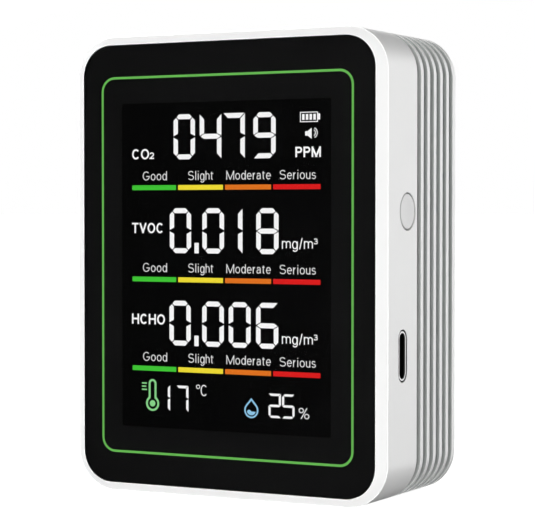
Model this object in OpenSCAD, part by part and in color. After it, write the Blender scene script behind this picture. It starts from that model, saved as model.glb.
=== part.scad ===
// Carbon dioxide monitor: a white desk-top air quality meter with a colour segment display.
// Millimetres. X runs to the right, Y runs to the back, Z runs up.
// The origin is in the middle of the footprint, on the table.
// "Depth" is the distance behind the front face, and "z" is measured from mid-height.

/* [Body] */
// Width of the body
body_w = 65.4; // [65.4:0.1:68]
// Height of the body
body_h = 86.2; // [86.2:0.1:89]
// Depth of the body, from the front face to the back face
body_d = 31.5; // [31.5:0.1:34]
// Radius of the outer corners, seen from the front
corner_r = 8; // [7.6:0.1:8.4]
// Wall thickness of the front case
front_wall = 1.8; // [1.6:0.1:1.9]
// Wall thickness of the rear case, at the bottom of the grooves
rear_wall = 1.6; // [1.2:0.1:1.8]
// Depth at which the front case ends and the grooved rear case begins
parting = 13.7; // [13.7:0.05:13.8]
// Width of the bevel round the lens, seen from the front, at the sides
bevel_w = 1.85; // [1.5:0.05:2]
// Depth of the bevel
bevel_d = 1.25; // [1.1:0.05:1.5]

/* [Grooves] */
// Number of grooves round the rear case
groove_count = 6; // [3:1:6]
// Distance from one groove to the next
groove_pitch = 2.94; // [2.6:0.02:2.94]
// Width of one groove
groove_w = 1.82; // [1.2:0.02:2]
// How far the grooves go in
groove_depth = 2; // [1.9:0.05:2.1]

/* [Display] */
// Thickness of the clear front lens
lens_t = 0.8; // [0.6:0.05:0.8]
// Width of the clear window in the black print
window_w = 44.2; // [42:0.1:45]
// Height of the clear window in the black print
window_h = 61; // [58:0.1:61]
// Distance across the green ring, line to line
ring_w = 52.8; // [50:0.1:55]
// Height of the green ring, line to line
ring_h = 70.8; // [68:0.1:74]
// Thickness of the green line
ring_line = 0.45; // [0.4:0.05:0.8]
// Shift of the ring and the window across the lens
print_x = -0.35; // [-0.5:0.05:0.5]
// Shift of the ring and the window up the lens
print_z = -0.15; // [-0.5:0.05:0.5]
// Height of a large digit
digit_h = 8.4; // [7:0.05:8.8]
// Width of a large digit
digit_w = 4.6; // [4:0.02:5]
// Thickness of a stroke of a large digit
digit_t = 0.92; // [0.8:0.02:1.1]
// Shift of the segment artwork across the glass
artwork_x = -0.7; // [-1:0.1:1]

/* [Controls] */
// Diameter of the power button
button_dia = 6.6; // [6:0.1:6.6]
// Depth of the middle of the button
button_depth = 9.6; // [9.3:0.05:9.6]
// Height of the button above mid-height
button_z = 10; // [8:0.5:12]
// How far the button travels
button_travel = 0.3; // [0.2:0.05:0.3]
// Depth of the middle of the charging socket
usb_depth = 7.5; // [7.5:0.1:8]
// Height of the charging socket above mid-height
usb_z = -16; // [-18:0.5:-14]

/* [Hidden] */

// Round surfaces, and the corners inside a hull
$fn = 64;
hull_fn = 32;
// Overshoot of a cut, and the smallest play between two pieces
cut = 0.5;
play = 0.1;

// Lens pocket and the bevel round it
pocket_w = body_w - 2 * bevel_w - 0.2;
pocket_h = body_h - 2 * (bevel_w - 0.35) - 0.2;
pocket_r = 6;
shelf = 1;
shelf_back = 2.2;
lens_w = pocket_w - 2 * play;
lens_h = pocket_h - 2 * play;
lens_r = pocket_r - play;

// Front case inside, and the core of the rear case that plugs into it
cavity_w = body_w - 2 * front_wall;
cavity_h = body_h - 2 * front_wall;
core_w = body_w - 2 * groove_depth;
core_h = body_h - 2 * groove_depth;
core_r = corner_r - groove_depth;
lip = 2;
back_inside = body_d - 1.6;

// The opening behind the lens that the display shows through
opening_side = 24.3;
opening_top = 33.3;
opening_bottom = -34;

// Case screws: bosses near the four corners
boss_x = body_w / 2 - 6.3;
boss_z = body_h / 2 - 6.3;
boss_dia = 5;
boss_top = 11.5;
screw_seat = 20;
screw_tip = 6;
case_screw_dia = 2.15;
case_head_dia = 4.2;

// Vent slots: two columns in the upper half of the back
vent_x = 11.5;
vent_w = 20;
vent_h = 1.6;
vent_pitch = 3.2;
vent_count = 8;
lowest_vent = 6;

// Layers of the display, from the lens backwards
ring_r = 2.6;
print_t = 0.05;
print_back = lens_t + print_t;
polarizer_front = 0.95;
glass_front = 1.05;
front_glass_back = 1.45;
segment_front = 1.46;
segment_back = 1.49;
rear_glass_front = 1.5;
glass_back = 1.9;
polarizer_back = 2;
tray_back = 4.65;
glass_w = 48;
glass_top = 33;
glass_bottom = -33;
ledge = 2;
tray_w = 50.4;
film_side = 23.8;
light_near = 2.24;
light_far = 3.9;
led_z = 30.5;

// Main board
board_front = 4.7;
board_back = 5.9;
board_w = 60;
board_h = 67.8;
post_x = 27.6;
post_z = 30.5;
post_dia = 4;
board_screw_dia = 1.75;
board_screw_tip = 2.6;

// Middles of the parts on the board, as [x, z]
co2_z = 18;
chamber_windows = [-15, -2];
tvoc_place = [14, 1];
hcho_place = [19.5, 24];
buzzer_place = [-20, -23];
humidity_place = [-24.5, -2];

// Rows of pins, as [x, z] places
lcd_pin_places = [for (i = [-12 : 12]) [1.8 * i, glass_bottom - 0.4]];
co2_pin_places = [for (z = [9.5, 26.5], i = [0 : 4]) [-20 + 2.54 * i, z]];
hcho_pin_places = [for (a = [30 : 120 : 270]) hcho_place + 4.5 * [cos(a), sin(a)]];
tvoc_pin_places = [for (a = [0 : 90 : 270]) tvoc_place + 2.5 * [cos(a), sin(a)]];
switch_lead_places = [for (s = [-1, 1]) [25.6, button_z + 2.25 * s]];
switch_leg_places = [for (s = [-1, 1]) [27.9, button_z + 3.3 * s]];
slot_w = 3.8;
slot_h = 9.5;
usb_tab_places = [for (x = [26.4, 28.8], s = [-1, 1]) [x, usb_z + 4.4 * s]];

// ---- Helpers ----

// A rounded rectangle about the origin
module round_rect(w, h, r) {
    square([w - 2 * r, h], center = true);
    square([w, h - 2 * r], center = true);
    for (sx = [-1, 1], sy = [-1, 1]) {
        translate([sx * (w / 2 - r), sy * (h / 2 - r)])
            circle(r);
    }
}

// A rounded frame: one rounded rectangle with another cut out of it
module frame(w, h, r, inner_w, inner_h, inner_r) {
    difference() {
        round_rect(w, h, r);
        round_rect(inner_w, inner_h, inner_r);
    }
}

// A plate parallel to the front face; its outline is drawn in x and z
module plate(near, far) {
    translate([0, far - body_d / 2, body_h / 2])
        rotate([90, 0, 0])
            linear_extrude(height = far - near)
                children();
}

// A bar along X; its section is drawn in depth and z about the given place
module side_bar(left, right, depth, z) {
    translate([left, depth - body_d / 2, body_h / 2 + z])
        rotate([90, 0, 90])
            linear_extrude(height = right - left)
                children();
}

// A box between two limits on each axis
module block(left, right, near, far, bottom, top) {
    translate([left, near - body_d / 2, body_h / 2 + bottom])
        cube([right - left, far - near, top - bottom]);
}

// A round rod along the depth
module rod(dia, near, far, x, z) {
    translate([x, near - body_d / 2, body_h / 2 + z])
        rotate([-90, 0, 0])
            cylinder(d = dia, h = far - near);
}

// A round rod along X
module side_rod(dia, left, right, depth, z) {
    translate([left, depth - body_d / 2, body_h / 2 + z])
        rotate([0, 90, 0])
            cylinder(d = dia, h = right - left);
}

// The same rod at each of a list of [x, z] places
module rods(places, dia, near, far) {
    for (p = places)
        rod(dia, near, far, p[0], p[1]);
}

// Places its children at the four corners
module at_corners(x, z) {
    for (sx = [-1, 1], sz = [-1, 1]) {
        translate([sx * x, 0, sz * z])
            children();
    }
}

// ---- Case ----

module front_case() {
    color("white")
        difference() {
            union() {
                difference() {
                    union() {
                        hull() {
                            plate(0, 0.01)
                                round_rect(pocket_w + 0.2, pocket_h + 0.2, pocket_r + 0.1, $fn = hull_fn);
                            plate(bevel_d, bevel_d + 0.01)
                                round_rect(body_w, body_h, corner_r, $fn = hull_fn);
                        }
                        plate(bevel_d, parting)
                            round_rect(body_w, body_h, corner_r);
                    }
                    plate(shelf_back, parting + cut)
                        round_rect(cavity_w, cavity_h, corner_r - front_wall);
                }
                at_corners(boss_x, boss_z)
                    rod(boss_dia, shelf_back - play, boss_top, 0, 0);
                at_corners(post_x, post_z)
                    rod(post_dia, shelf_back - play, board_front, 0, 0);
            }
            plate(-cut, shelf)
                round_rect(pocket_w, pocket_h, pocket_r);
            block(-opening_side, opening_side, 0, shelf_back + cut, opening_bottom, opening_top);
            at_corners(boss_x, boss_z)
                rod(case_screw_dia + 0.05, screw_tip - 0.4, boss_top + cut, 0, 0);
            at_corners(post_x, post_z)
                rod(board_screw_dia + 0.05, board_screw_tip - 0.2, board_front + cut, 0, 0);
            side_rod(button_dia + 0.4, cavity_w / 2 - cut, body_w / 2 + cut, button_depth, button_z);
            side_bar(cavity_w / 2 - cut, body_w / 2 + cut, usb_depth, usb_z)
                round_rect(slot_w, slot_h, slot_w / 2 - 0.05);
        }
}

// A vent slot with round ends
module vent_slot(w, h) {
    square([w - h, h], center = true);
    for (s = [-1, 1]) {
        translate([s * (w - h) / 2, 0])
            circle(d = h);
    }
}

module rear_case() {
    last_groove = parting + (groove_count - 1) * groove_pitch + groove_w;
    edge = 1;
    color("white")
        difference() {
            union() {
                difference() {
                    union() {
                        plate(parting - lip, last_groove + play)
                            round_rect(core_w, core_h, core_r);
                        for (i = [0 : groove_count - 2]) {
                            plate(parting + i * groove_pitch + groove_w, parting + (i + 1) * groove_pitch)
                                round_rect(body_w, body_h, corner_r);
                        }
                        plate(last_groove, body_d - edge)
                            round_rect(body_w, body_h, corner_r);
                        hull() {
                            for (a = [0 : 22.5 : 90]) {
                                back = body_d - edge + edge * sin(a);
                                inset = 2 * edge * (1 - cos(a));
                                plate(back - 0.01, back)
                                    round_rect(body_w - inset, body_h - inset, corner_r - inset / 2,
                                               $fn = hull_fn);
                            }
                        }
                    }
                    plate(parting - lip - cut, back_inside)
                        round_rect(core_w - 2 * rear_wall, core_h - 2 * rear_wall, core_r - rear_wall);
                }
                at_corners(boss_x, boss_z)
                    rod(6.4, boss_top + play, back_inside + play, 0, 0);
            }
            at_corners(boss_x, boss_z) {
                rod(case_screw_dia + 0.65, boss_top - cut, body_d + cut, 0, 0);
                rod(case_head_dia + 0.2, screw_seat, body_d + cut, 0, 0);
            }
            block(core_w / 2 - 2.2, core_w / 2 + play, parting - lip - cut, parting - 0.1,
                  button_z - 4.4, button_z + 4.4);
            for (i = [0 : vent_count - 1], s = [-1, 1]) {
                translate([vent_x * s, 0, lowest_vent + vent_pitch * i])
                    plate(back_inside - cut, body_d + cut)
                        vent_slot(vent_w, vent_h);
            }
        }
}

module vent_mesh() {
    color("dimgray")
        plate(back_inside - 0.4, back_inside)
            translate([0, 17])
                square([46, 27], center = true);
}

// A pan-head screw along the depth, with its head at the back and a cross recess
module screw(head_dia, head_h, shank_dia, seat, tip) {
    difference() {
        union() {
            rod(head_dia, seat, seat + head_h, 0, 0);
            rod(shank_dia, tip, seat, 0, 0);
        }
        for (size = [[0.5, head_dia * 0.6], [head_dia * 0.6, 0.5]]) {
            plate(seat + head_h * 0.4, seat + head_h + cut)
                square(size, center = true);
        }
    }
}

module case_screws() {
    color("silver")
        at_corners(boss_x, boss_z)
            screw(case_head_dia, 1.8, case_screw_dia, screw_seat, screw_tip);
}

module board_screws() {
    color("silver")
        at_corners(post_x, post_z)
            screw(3.4, 1.2, board_screw_dia, board_back, board_screw_tip);
}

// ---- Lens ----

module front_lens() {
    color("dimgray")
        plate(0, lens_t)
            round_rect(lens_w, lens_h, lens_r);
}

// The area inside the green ring, grown on all sides
module ring_area(grow) {
    translate([print_x, print_z])
        round_rect(ring_w + 2 * grow, ring_h + 2 * grow, ring_r + grow);
}

module lens_print() {
    color("black")
        plate(lens_t, print_back) {
            difference() {
                round_rect(lens_w, lens_h, lens_r);
                ring_area(ring_line / 2);
            }
            difference() {
                ring_area(-ring_line / 2);
                translate([print_x, print_z])
                    round_rect(window_w, window_h, 0.4);
            }
        }
}

module ring_print() {
    color("limegreen")
        plate(lens_t, print_back)
            difference() {
                ring_area(ring_line / 2);
                ring_area(-ring_line / 2);
            }
}

module lens_tape() {
    color("black")
        plate(print_back, shelf)
            frame(lens_w - 0.6, lens_h - 0.6, lens_r - 0.3, 50, 69.6, 1);
}

module optical_adhesive() {
    color("lightcyan")
        plate(print_back, polarizer_front)
            square([glass_w - 0.4, 2 * glass_top - 0.4], center = true);
}

// ---- Display ----

// A pane of the display, from the given bottom edge up to the top of the glass
module pane(near, far, inset, bottom) {
    block(-glass_w / 2 + inset, glass_w / 2 - inset, near, far, bottom + inset, glass_top - inset);
}

module front_polarizer() {
    color("dimgray")
        pane(polarizer_front, glass_front, 0.3, glass_bottom + ledge);
}

module lcd_front_glass() {
    color("lightcyan")
        pane(glass_front, front_glass_back, 0, glass_bottom + ledge);
}

module lcd_rear_glass() {
    color("darkslategray")
        pane(rear_glass_front, glass_back, 0, glass_bottom);
}

module rear_polarizer() {
    color("black")
        pane(glass_back, polarizer_back, 0.3, glass_bottom);
}

// Whether a digit lights a segment
function lit(on, name) = len(search(name, on)) > 0;

// Gap between lit segments, and width of the bevel at the corners of a digit, in strokes
segment_gap = 0.15;
segment_bevel = 1.3;

// An upright segment in the lower left corner of its box; bevelled where it meets a lit neighbour
module upright(t, middle, bevelled) {
    gap = segment_gap * t;
    b = segment_bevel * t;
    low_end = bevelled ? [[0, b], [(b - gap) / 2, (b + gap) / 2]] : [[0, gap]];
    polygon(concat(low_end, [[t, t + gap], [t, middle - 0.5 * t - gap], [0, middle - gap]]));
}

// A level segment along the bottom of its box, with each end bevelled or pointed
module level(w, t, left_bevelled, right_bevelled) {
    gap = segment_gap * t;
    b = segment_bevel * t;
    left_end = left_bevelled ? [[(b + gap) / 2, (b - gap) / 2], [b, 0]] : [[gap, 0]];
    right_end = right_bevelled ? [[w - b, 0], [w - (b + gap) / 2, (b - gap) / 2]] : [[w - gap, 0]];
    polygon(concat([[t + gap, t]], left_end, right_end, [[w - t - gap, t]]));
}

// The middle segment, with a point at each end
module middle_bar(w, t) {
    polygon([[0.2 * t, 0], [t, t / 2], [w - t, t / 2], [w - 0.2 * t, 0], [w - t, -t / 2], [t, -t / 2]]);
}

// One seven-segment digit, standing on its lower left corner
module digit(on, w, h, t) {
    half = h / 2;
    // Left-hand uprights: lower, then upper
    if (lit(on, "e"))
        upright(t, half, lit(on, "d"));
    if (lit(on, "f"))
        translate([0, h]) mirror([0, 1]) upright(t, half, lit(on, "a"));
    // Right-hand uprights: lower, then upper
    if (lit(on, "c"))
        translate([w, 0]) mirror([1, 0]) upright(t, half, lit(on, "d"));
    if (lit(on, "b"))
        translate([w, h]) rotate(180) upright(t, half, lit(on, "a") && lit(on, "f"));
    // Bottom, top and middle
    if (lit(on, "d"))
        level(w, t, lit(on, "e"), lit(on, "c"));
    if (lit(on, "a"))
        translate([0, h]) mirror([0, 1]) level(w, t, lit(on, "f"), lit(on, "b") && lit(on, "f"));
    if (lit(on, "g"))
        translate([0, half]) middle_bar(w, t);
}

// Segments that each numeral lights
SEGMENTS = ["abcdef", "bc", "abdeg", "abcdg", "bcfg", "acdfg", "acdefg", "abc", "abcdefg", "abcdfg"];

// A row of numerals, as [numeral, left edge] pairs
module number(numerals, base, w, h, t) {
    for (n = numerals) {
        translate([n[1], base])
            digit(SEGMENTS[n[0]], w, h, t);
    }
}

// Everything drawn inside the segment layer
module artwork() {
    plate(segment_front, segment_back)
        translate([artwork_x, 0])
            children();
}

module digit_segments() {
    point = [0.9, 1.95];
    color("white")
        artwork() {
            number([[0, -10.75], [4, -5.1], [7, -0.15], [9, 6.25]], 19.74, digit_w, digit_h, digit_t);
            number([[0, -11.6], [0, -4.55], [1, -0.65], [8, 6.85]], 2.23, digit_w, digit_h, digit_t);
            number([[0, -11.7], [0, -4.6], [0, 1.05], [6, 6.8]], -15.08, digit_w, digit_h, digit_t);
            translate([-6.25, 2.23])
                square(point);
            translate([-6.3, -15.08])
                square(point);
            number([[1, -14.2], [7, -10.2]], -27.5, 2.6, 4.9, 0.48);
            number([[2, 9.4], [5, 12.2]], -27.7, 2.55, 4.45, 0.42);
        }
}

module level_bars() {
    bar_w = 9.62;
    bar_h = 0.92;
    bar_pitch = 10.08;
    bar_left = -19.87;
    color("gold")
        artwork()
            for (z = [14.5, -2.75, -19.6], i = [0 : 3]) {
                translate([bar_left + i * bar_pitch, z - bar_h / 2])
                    square([bar_w, bar_h]);
            }
}

module status_icons() {
    line = 0.15;
    battery = [3.6, 1.85];
    color("white")
        artwork() {
            // Battery: case, tip and four charge bars
            translate([15.85, 26.15]) {
                difference() {
                    square(battery);
                    translate([line, line])
                        square(battery - 2 * [line, line]);
                }
                translate([battery[0], 0.4])
                    square([0.45, 1.1]);
                for (i = [0 : 3]) {
                    translate([0.42 + 0.76 * i, 0.4])
                        square([0.48, 1.05]);
                }
            }
            // Speaker: cone and two sound waves
            translate([16.9, 24.1])
                polygon([[0, -0.4], [0.5, -0.4], [1.3, -1], [1.3, 1], [0.5, 0.4], [0, 0.4]]);
            translate([18.4, 24.2])
                for (r = [0.64, 1.02]) {
                    intersection() {
                        difference() {
                            circle(r);
                            circle(r - line);
                        }
                        polygon([[0, 0], [1, -2.4], [2, 0], [1, 2.4]]);
                    }
                }
        }
}

// A round-ended bulb and stem, as on a thermometer
module bulb(bulb_r, stem_r, stem_top) {
    circle(bulb_r);
    translate([-stem_r, 0])
        square([2 * stem_r, stem_top]);
    translate([0, stem_top])
        circle(stem_r);
}

// A water drop: a circle with a point above it
module drop(r, tip) {
    touch = acos(r / tip);
    circle(r);
    polygon([[0, tip], [-r * sin(touch), r * cos(touch)], [0, 0], [r * sin(touch), r * cos(touch)]]);
}

module climate_icons() {
    color("lightgreen")
        artwork() {
            // Thermometer with three heat lines
            translate([-15.45, -26.2]) {
                difference() {
                    bulb(1.45, 0.85, 3.75);
                    bulb(1.05, 0.45, 3.75);
                }
                circle(0.6);
            }
            for (i = [0 : 2]) {
                translate([-17.8, -23.75 + 0.6 * i])
                    square([1.1 - 0.15 * (i % 2), 0.25]);
            }
            // Water drop with a wave in it
            translate([5.8, -26.5]) {
                difference() {
                    drop(1.47, 2.25);
                    drop(1.17, 1.75);
                }
                intersection() {
                    circle(0.95);
                    union() {
                        translate([-1, -1])
                            square([2, 0.75]);
                        translate([-0.45, -0.35])
                            circle(0.42);
                    }
                }
            }
        }
}

module diffuser_film() {
    color("whitesmoke")
        block(-film_side, film_side, polarizer_back + 0.03, light_near - 0.04, -32.5, 32.8);
}

module light_guide() {
    color("aliceblue")
        block(-film_side, film_side, light_near, light_far, -32, led_z - 0.1);
}

module reflector_film() {
    color("silver")
        block(-film_side, film_side, light_far + 0.02, light_far + 0.12, -32, 32.8);
}

module backlight_tray() {
    color("white")
        difference() {
            block(-tray_w / 2, tray_w / 2, light_near, tray_back, glass_bottom - 0.05, 34);
            block(-24, 24, light_near - cut, light_far + 0.15, -32.2, 33);
        }
}

module backlight_leds() {
    led_pitch = 6.4;
    color("lightyellow")
        for (i = [-3 : 3]) {
            block(led_pitch * i - 1.5, led_pitch * i + 1.5, 2.5, light_far, led_z, led_z + 2.1);
        }
}

module lcd_pins() {
    color("silver")
        for (p = lcd_pin_places) {
            block(p[0] - 0.2, p[0] + 0.2, 1.3, rear_glass_front, p[1] - 0.2, glass_bottom + 1.6);
            block(p[0] - 0.2, p[0] + 0.2, rear_glass_front, board_back + 0.6, p[1] - 0.2, p[1] + 0.2);
        }
}

// ---- Main board ----

module main_board() {
    color("darkgreen")
        difference() {
            union() {
                block(-board_w / 2, board_w / 2, board_front, board_back, -board_h / 2, board_h / 2);
                block(-22.6, 22.6, board_front, board_back, -36.5, -board_h / 2 + play);
            }
            at_corners(post_x, post_z)
                rod(2.1, board_front - cut, board_back + cut, 0, 0);
            rods(lcd_pin_places, 0.8, board_front - cut, board_back + cut);
            rods(co2_pin_places, 0.9, board_front - cut, board_back + cut);
            rods(hcho_pin_places, 1.1, board_front - cut, board_back + cut);
            rods(tvoc_pin_places, 0.8, board_front - cut, board_back + cut);
            rods(switch_lead_places, 0.9, board_front - cut, board_back + cut);
            rods(switch_leg_places, 1.1, board_front - cut, board_back + cut);
            rods(usb_tab_places, 1.1, board_front - cut, board_back + cut);
            // A notch that clears the flange of the button
            block(28.9, board_w / 2 + cut, board_front - cut, board_back + cut,
                  button_z - 4.4, button_z + 4.4);
            // Two slots that keep the heat of the board from the humidity sensor
            block(-28, -21.5, board_front - cut, board_back + cut, -6.2, -5.2);
            block(-21.5, -20.5, board_front - cut, board_back + cut, -6.2, 0);
        }
}

// A chip on the back of the main board, about its middle
module chip(x, z, w, h, t) {
    block(x - w / 2, x + w / 2, board_back + 0.02, board_back + t, z - h / 2, z + h / 2);
}

module microcontroller() {
    color("dimgray")
        difference() {
            chip(-4, -19, 7, 7, 1.2);
            rod(0.8, board_back + 1.1, board_back + 1.3, -6.6, -16.4);
        }
}

module board_chips() {
    color("black") {
        // Charger, regulator, sensor amplifier and memory
        chip(17, -14.5, 3, 3, 0.9);
        chip(17, -21, 3, 1.7, 1.1);
        chip(3.5, -6.5, 5, 4, 1.5);
        chip(-14, -13, 5, 4, 1.5);
    }
}

module small_parts() {
    color("tan")
        for (i = [0 : 5]) {
            chip(4.5 + 2.2 * i, -26, 0.9, 1.7, 0.7);
            chip(-9 + 2.2 * i, -11.6, 0.9, 1.7, 0.7);
        }
}

module buzzer() {
    color("black")
        difference() {
            rods([buzzer_place], 9, board_back + 0.02, board_back + 4.5);
            rods([buzzer_place], 1.8, board_back + 3.5, board_back + 4.6);
        }
}

module humidity_sensor() {
    color("white")
        difference() {
            chip(humidity_place[0], humidity_place[1], 3, 3, 1.3);
            rods([humidity_place], 1.2, board_back + 0.9, board_back + 1.4);
        }
}

// ---- Charging socket ----

usb_mouth = body_w / 2 - 0.1;
usb_back = usb_mouth - 7.35;
usb_block = usb_mouth - 6.6;
usb_shell_w = 3.16;
usb_shell_h = 8.94;
usb_wall = 0.3;

module usb_shell() {
    round_r = usb_shell_w / 2 - 0.03;
    color("silver")
        union() {
            side_bar(usb_back, usb_mouth, usb_depth, usb_z)
                frame(usb_shell_w, usb_shell_h, round_r,
                      usb_shell_w - 2 * usb_wall, usb_shell_h - 2 * usb_wall, round_r - usb_wall);
            for (p = usb_tab_places) {
                block(p[0] - 0.4, p[0] + 0.4, board_front + 0.1, usb_depth, p[1] - 0.1, p[1] + 0.1);
            }
        }
}

module usb_tongue() {
    color("black") {
        side_bar(usb_back, usb_block, usb_depth, usb_z)
            round_rect(usb_shell_w - 0.66, usb_shell_h - 0.66, 1.22);
        side_bar(usb_block, usb_mouth - 0.6, usb_depth, usb_z)
            square([0.7, 6.7], center = true);
    }
}

module usb_contacts() {
    contact_pitch = 0.5;
    color("gold")
        for (i = [0 : 11], side = [-1, 1]) {
            translate([0, side * 0.375, (i - 5.5) * contact_pitch])
                side_bar(usb_mouth - 5.4, usb_mouth - 0.9, usb_depth, usb_z)
                    square([0.04, 0.24], center = true);
        }
}

// ---- Power button and its switch ----

switch_x = 24.5;
switch_front = 28;
button_seat = 29.6;
dome_x = switch_x + 1.05;
dome_rise = button_travel + 0.7;
plunger_x = dome_x + dome_rise + 0.05;

module power_button() {
    color("gainsboro")
        union() {
            side_rod(button_dia, button_seat, body_w / 2 - 0.05, button_depth, button_z);
            side_rod(button_dia + 1.2, button_seat, cavity_w / 2 - 0.05, button_depth, button_z);
        }
}

module switch_body() {
    color("dimgray")
        difference() {
            block(switch_x, switch_front, board_back + 0.1, button_depth + 3, button_z - 3, button_z + 3);
            side_rod(4.6, switch_x + 1, switch_front + cut, button_depth, button_z);
        }
}

module switch_cover() {
    color("silver")
        difference() {
            union() {
                block(switch_front, switch_front + 0.3, board_back + 0.1, button_depth + 3,
                      button_z - 3.5, button_z + 3.5);
                for (p = switch_leg_places) {
                    block(p[0] - 0.4, p[0] + 0.4, board_front + 0.1, board_back + 3,
                          p[1] - 0.2, p[1] + 0.2);
                }
            }
            side_rod(3.7, switch_front - cut, switch_front + 1, button_depth, button_z);
        }
}

module switch_plunger() {
    color("black")
        union() {
            side_rod(3.4, plunger_x, button_seat - 0.05, button_depth, button_z);
            side_rod(4.3, plunger_x, switch_front - 0.1, button_depth, button_z);
        }
}

// A snap dome: a shallow cone of spring steel with a flat top
module switch_dome() {
    metal = 0.1;
    color("silver")
        translate([dome_x, button_depth - body_d / 2, body_h / 2 + button_z])
            rotate([0, 90, 0])
                difference() {
                    cylinder(d1 = 4.4, d2 = 1.6, h = dome_rise);
                    translate([0, 0, -metal])
                        cylinder(d1 = 4.4, d2 = 1.6, h = dome_rise);
                }
}

module switch_leads() {
    color("silver")
        rods(switch_lead_places, 0.6, board_front + 0.1, board_back + 0.08);
}

// ---- Carbon dioxide sensor ----

co2_board_near = 9;
co2_board_far = 10;
chamber_far = 17;
beam_depth = 13;

module co2_board() {
    color("seagreen")
        difference() {
            block(-25, 8, co2_board_near, co2_board_far, 8, 28);
            rods(co2_pin_places, 0.9, co2_board_near - cut, co2_board_far + cut);
        }
}

module co2_pins() {
    color("gold")
        rods(co2_pin_places, 0.6, board_front + 0.1, co2_board_far + 0.6);
}

module co2_chamber() {
    color("goldenrod")
        difference() {
            block(-23, 6, co2_board_far + 0.05, chamber_far, co2_z - 6.5, co2_z + 6.5);
            block(-22, 5, co2_board_far, chamber_far - 1, co2_z - 5.5, co2_z + 5.5);
            for (x = chamber_windows)
                rod(6, chamber_far - 2, chamber_far + cut, x, co2_z);
        }
}

module co2_filters() {
    color("white")
        for (x = chamber_windows)
            rod(7, chamber_far, chamber_far + 0.3, x, co2_z);
}

module ir_lamp() {
    color("lightyellow") {
        side_rod(3, -21.9, -17, beam_depth, co2_z);
        translate([-17, beam_depth - body_d / 2, body_h / 2 + co2_z])
            sphere(d = 3);
    }
}

module ir_detector() {
    color("silver")
        difference() {
            side_rod(5.3, 0.4, 4.8, beam_depth, co2_z);
            side_rod(3, 0, 0.9, beam_depth, co2_z);
        }
}

// ---- Gas sensors ----

module tvoc_base() {
    color("silver") {
        rods([tvoc_place], 9.2, board_back + 0.1, board_back + 1);
        rods(tvoc_pin_places, 0.5, board_front + 0.1, board_back + 0.1);
    }
}

module tvoc_can() {
    color("gainsboro")
        difference() {
            rods([tvoc_place], 8.2, board_back + 1, board_back + 7);
            rods([tvoc_place], 7.6, board_back + 0.9, board_back + 6.6);
            rods([for (a = [0 : 60 : 300]) tvoc_place + 2.2 * [cos(a), sin(a)]],
                 1, board_back + 6, board_back + 8);
        }
}

hcho_near = 8;
hcho_far = 17.5;

module hcho_cell() {
    color("white")
        rods([hcho_place], 14, hcho_near, hcho_far);
}

module hcho_cap() {
    color("gainsboro")
        difference() {
            rods([hcho_place], 14.8, hcho_far - 2.5, hcho_far + 1.2);
            rods([hcho_place], 14.1, hcho_far - 3.5, hcho_far + 0.1);
            rods([for (a = [0 : 60 : 300]) hcho_place + 3.6 * [cos(a), sin(a)]],
                 1.6, hcho_far - 0.5, hcho_far + 1.5);
        }
}

module hcho_pins() {
    color("gold")
        rods(hcho_pin_places, 0.8, board_front + 0.1, hcho_near);
}

// ---- Battery ----

wire_places = [-11, -9];
socket_z = -5;
wire_bend = 2.8;
wire_dia = 1.2;

module battery_cell() {
    color("silver")
        block(-25, 25, 21.2, back_inside - 0.7, -32.5, -0.5);
}

module battery_tape() {
    color("black")
        block(-20, 20, back_inside - 0.7, back_inside, -28, -5);
}

module protection_board() {
    color("darkgreen")
        block(-15, 15, 24.6, 25.6, -0.4, 3.2);
}

module battery_socket() {
    color("ivory")
        difference() {
            block(-13, -7, board_back + 0.1, board_back + 6, socket_z - 2.4, socket_z + 2.4);
            block(-12.3, -7.7, board_back + 1, board_back + 6 + cut, socket_z - 1.7, socket_z + 1.7);
        }
}

module battery_plug() {
    color("ivory")
        block(-12.2, -7.8, board_back + 1.1, board_back + 7, socket_z - 1.6, socket_z + 1.6);
}

// A quarter turn of wire, from along the depth towards straight up
module wire_turn() {
    rotate([0, -90, 0])
        rotate_extrude(angle = 90)
            translate([wire_bend, 0])
                circle(d = wire_dia);
}

// Two wires with a slack bend, from the plug back to the protection board
module battery_wires() {
    wire_near = board_back + 7;
    turn = 15;
    color("red")
        for (x = wire_places) {
            rod(wire_dia, wire_near, turn, x, socket_z);
            translate([x, turn - body_d / 2, body_h / 2 + socket_z + wire_bend])
                mirror([0, 0, 1])
                    wire_turn();
            translate([x, turn + 2 * wire_bend - body_d / 2, body_h / 2 + socket_z + wire_bend])
                mirror([0, 1, 0])
                    wire_turn();
            rod(wire_dia, turn + 2 * wire_bend, 24.6, x, socket_z + 2 * wire_bend);
        }
}

front_case();
rear_case();
front_lens();
lens_print();
ring_print();
lens_tape();
optical_adhesive();
front_polarizer();
lcd_front_glass();
digit_segments();
level_bars();
status_icons();
climate_icons();
lcd_rear_glass();
rear_polarizer();
diffuser_film();
light_guide();
reflector_film();
backlight_tray();
backlight_leds();
lcd_pins();
main_board();
microcontroller();
board_chips();
small_parts();
buzzer();
usb_shell();
usb_tongue();
usb_contacts();
power_button();
switch_body();
switch_cover();
switch_plunger();
switch_dome();
switch_leads();
co2_board();
co2_chamber();
co2_filters();
ir_lamp();
ir_detector();
co2_pins();
tvoc_base();
tvoc_can();
hcho_cell();
hcho_cap();
hcho_pins();
humidity_sensor();
battery_cell();
battery_tape();
protection_board();
battery_wires();
battery_plug();
battery_socket();
case_screws();
board_screws();
vent_mesh();
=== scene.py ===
import math

import bmesh
import bpy
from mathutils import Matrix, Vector
from mathutils.geometry import delaunay_2d_cdt


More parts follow.
